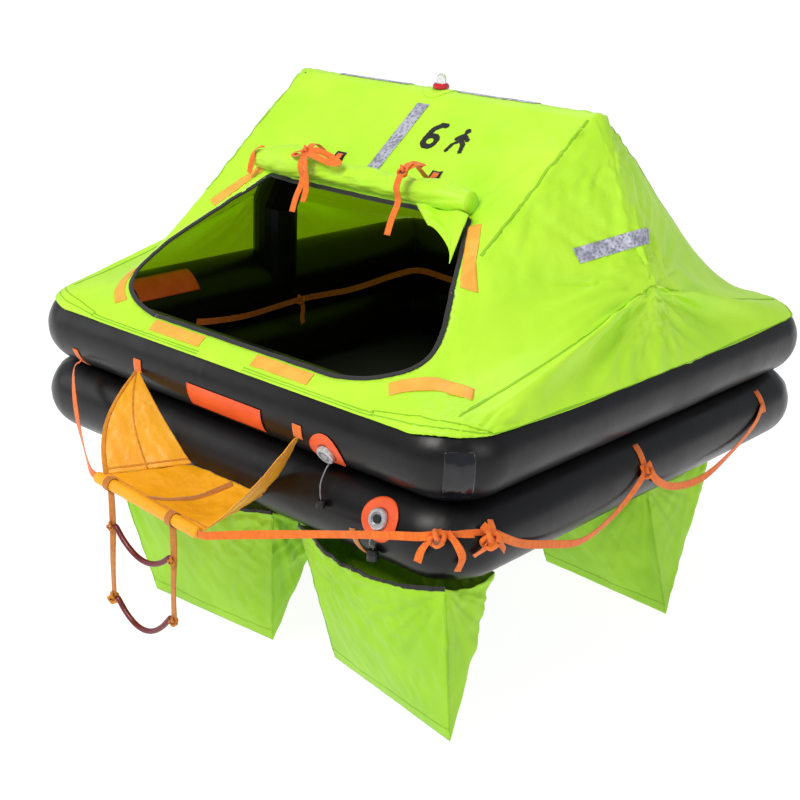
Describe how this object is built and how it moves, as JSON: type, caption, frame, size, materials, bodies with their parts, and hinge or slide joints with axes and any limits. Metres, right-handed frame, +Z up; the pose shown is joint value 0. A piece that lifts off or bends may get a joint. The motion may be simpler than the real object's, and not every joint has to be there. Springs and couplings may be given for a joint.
{
  "type": "inflated liferaft",
  "caption": "Inflated canopied liferaft: stacked buoyancy tubes, inflated arch, sewn canopy with rolled door, boarding step with ladder, grab lines, valves and ballast pockets.",
  "frame": {"origin": "middle of the floor's underside, where the raft rests on the water", "axes": "+Z up; the entrance with the boarding step faces -Y; the arch tube runs along X"},
  "size_m": [2.0045, 2.3046, 1.7608],
  "materials": {
    "tube_rubber": "satin black coated fabric",
    "floor_rubber": "matt dark coated fabric",
    "canopy_fabric": "yellow-green waterproof fabric, slight sheen",
    "pocket_fabric": "green woven fabric, matt",
    "orange_webbing": "woven webbing",
    "orange_patch": "smooth bonded patch",
    "label_film": "printed label film",
    "step_fabric": "coated yellow fabric",
    "ladder_webbing": "woven webbing",
    "rung_hose": "dark red glossy hose",
    "valve_metal": "machined",
    "black_trim": "black tape and rubber",
    "reflective_tape": "retroreflective silver film",
    "light_red": "moulded",
    "light_clear": "clear lens",
    "cylinder_paint": "painted",
    "head_brass": "machined"
  },
  "bodies": {
    "raft": {"floor": "floor_rubber", "lower_tube": "tube_rubber", "upper_tube": "tube_rubber", "arch_tube": "tube_rubber", "canopy": "canopy_fabric", "door_binding": "black_trim", "door_tape_bottom_left": "orange_patch", "door_tape_bottom_right": "orange_patch", "door_tape_left": "orange_patch", "door_tape_right": "orange_patch", "door_tape_corner_left": "orange_patch", "door_tape_corner_right": "orange_patch", "door_roll": "canopy_fabric", "tie_patch_left": "black_trim", "tie_patch_right": "black_trim", "door_tie_left": "orange_webbing", "door_tie_right": "orange_webbing", "slope_tape": "reflective_tape", "ridge_tape_left": "reflective_tape", "ridge_tape_right": "reflective_tape", "end_tape_right": "reflective_tape", "end_tape_left": "reflective_tape", "light_patch": "canopy_fabric", "light_base": "light_red", "light_lens": "light_clear", "boarding_label": "label_film", "relief_valve_ring": "label_film", "relief_valve_body": "valve_metal", "inflation_valve_ring": "label_film", "inflation_valve_body": "valve_metal", "relief_valve_plug": "black_trim", "relief_valve_tether": "black_trim", "inflation_valve_cap": "black_trim", "inflation_valve_tether": "black_trim", "step_bar": "step_fabric", "step_seat": "step_fabric", "step_side_left": "step_fabric", "step_side_right": "step_fabric", "grab_line_left": "orange_webbing", "grab_line_front": "orange_webbing", "grab_line_right_front": "orange_webbing", "grab_line_right_back": "orange_webbing", "grab_line_left_side": "orange_webbing", "grab_line_back": "orange_webbing", "interior_line": "orange_webbing", "ballast_pocket_front_left": "pocket_fabric", "ballast_pocket_front_right": "pocket_fabric", "ballast_pocket_back_right": "pocket_fabric", "ballast_pocket_back_left": "pocket_fabric", "gas_cylinder": "cylinder_paint", "cylinder_head": "head_brass", "cylinder_strap_left": "black_trim", "cylinder_strap_right": "black_trim", "inflation_hose": "black_trim"},
    "ladder": {"ladder_web_left": "ladder_webbing", "ladder_web_right": "ladder_webbing", "rung_upper": "rung_hose", "rung_lower": "rung_hose"},
    "relief_poppet": {"relief_valve_poppet": "valve_metal"},
    "inflation_poppet": {"inflation_valve_poppet": "black_trim"}
  },
  "joints": [
    {"name": "ladder_swing", "type": "hinge", "parent": "raft", "child": "ladder", "pos_m": [-0.025, -1.255, 0.061], "axis": [0.9983, 0, -0.0587], "range_deg": [-110, 30]},
    {"name": "relief_valve_push", "type": "slide", "parent": "raft", "child": "relief_poppet", "axis": [0, 0.848, 0.5299], "range_m": [0, 0.004], "stiffness_N_per_m": 400},
    {"name": "inflation_valve_push", "type": "slide", "parent": "raft", "child": "inflation_poppet", "axis": [0, 0.9272, -0.3746], "range_m": [0, 0.004], "stiffness_N_per_m": 400}
  ]
}
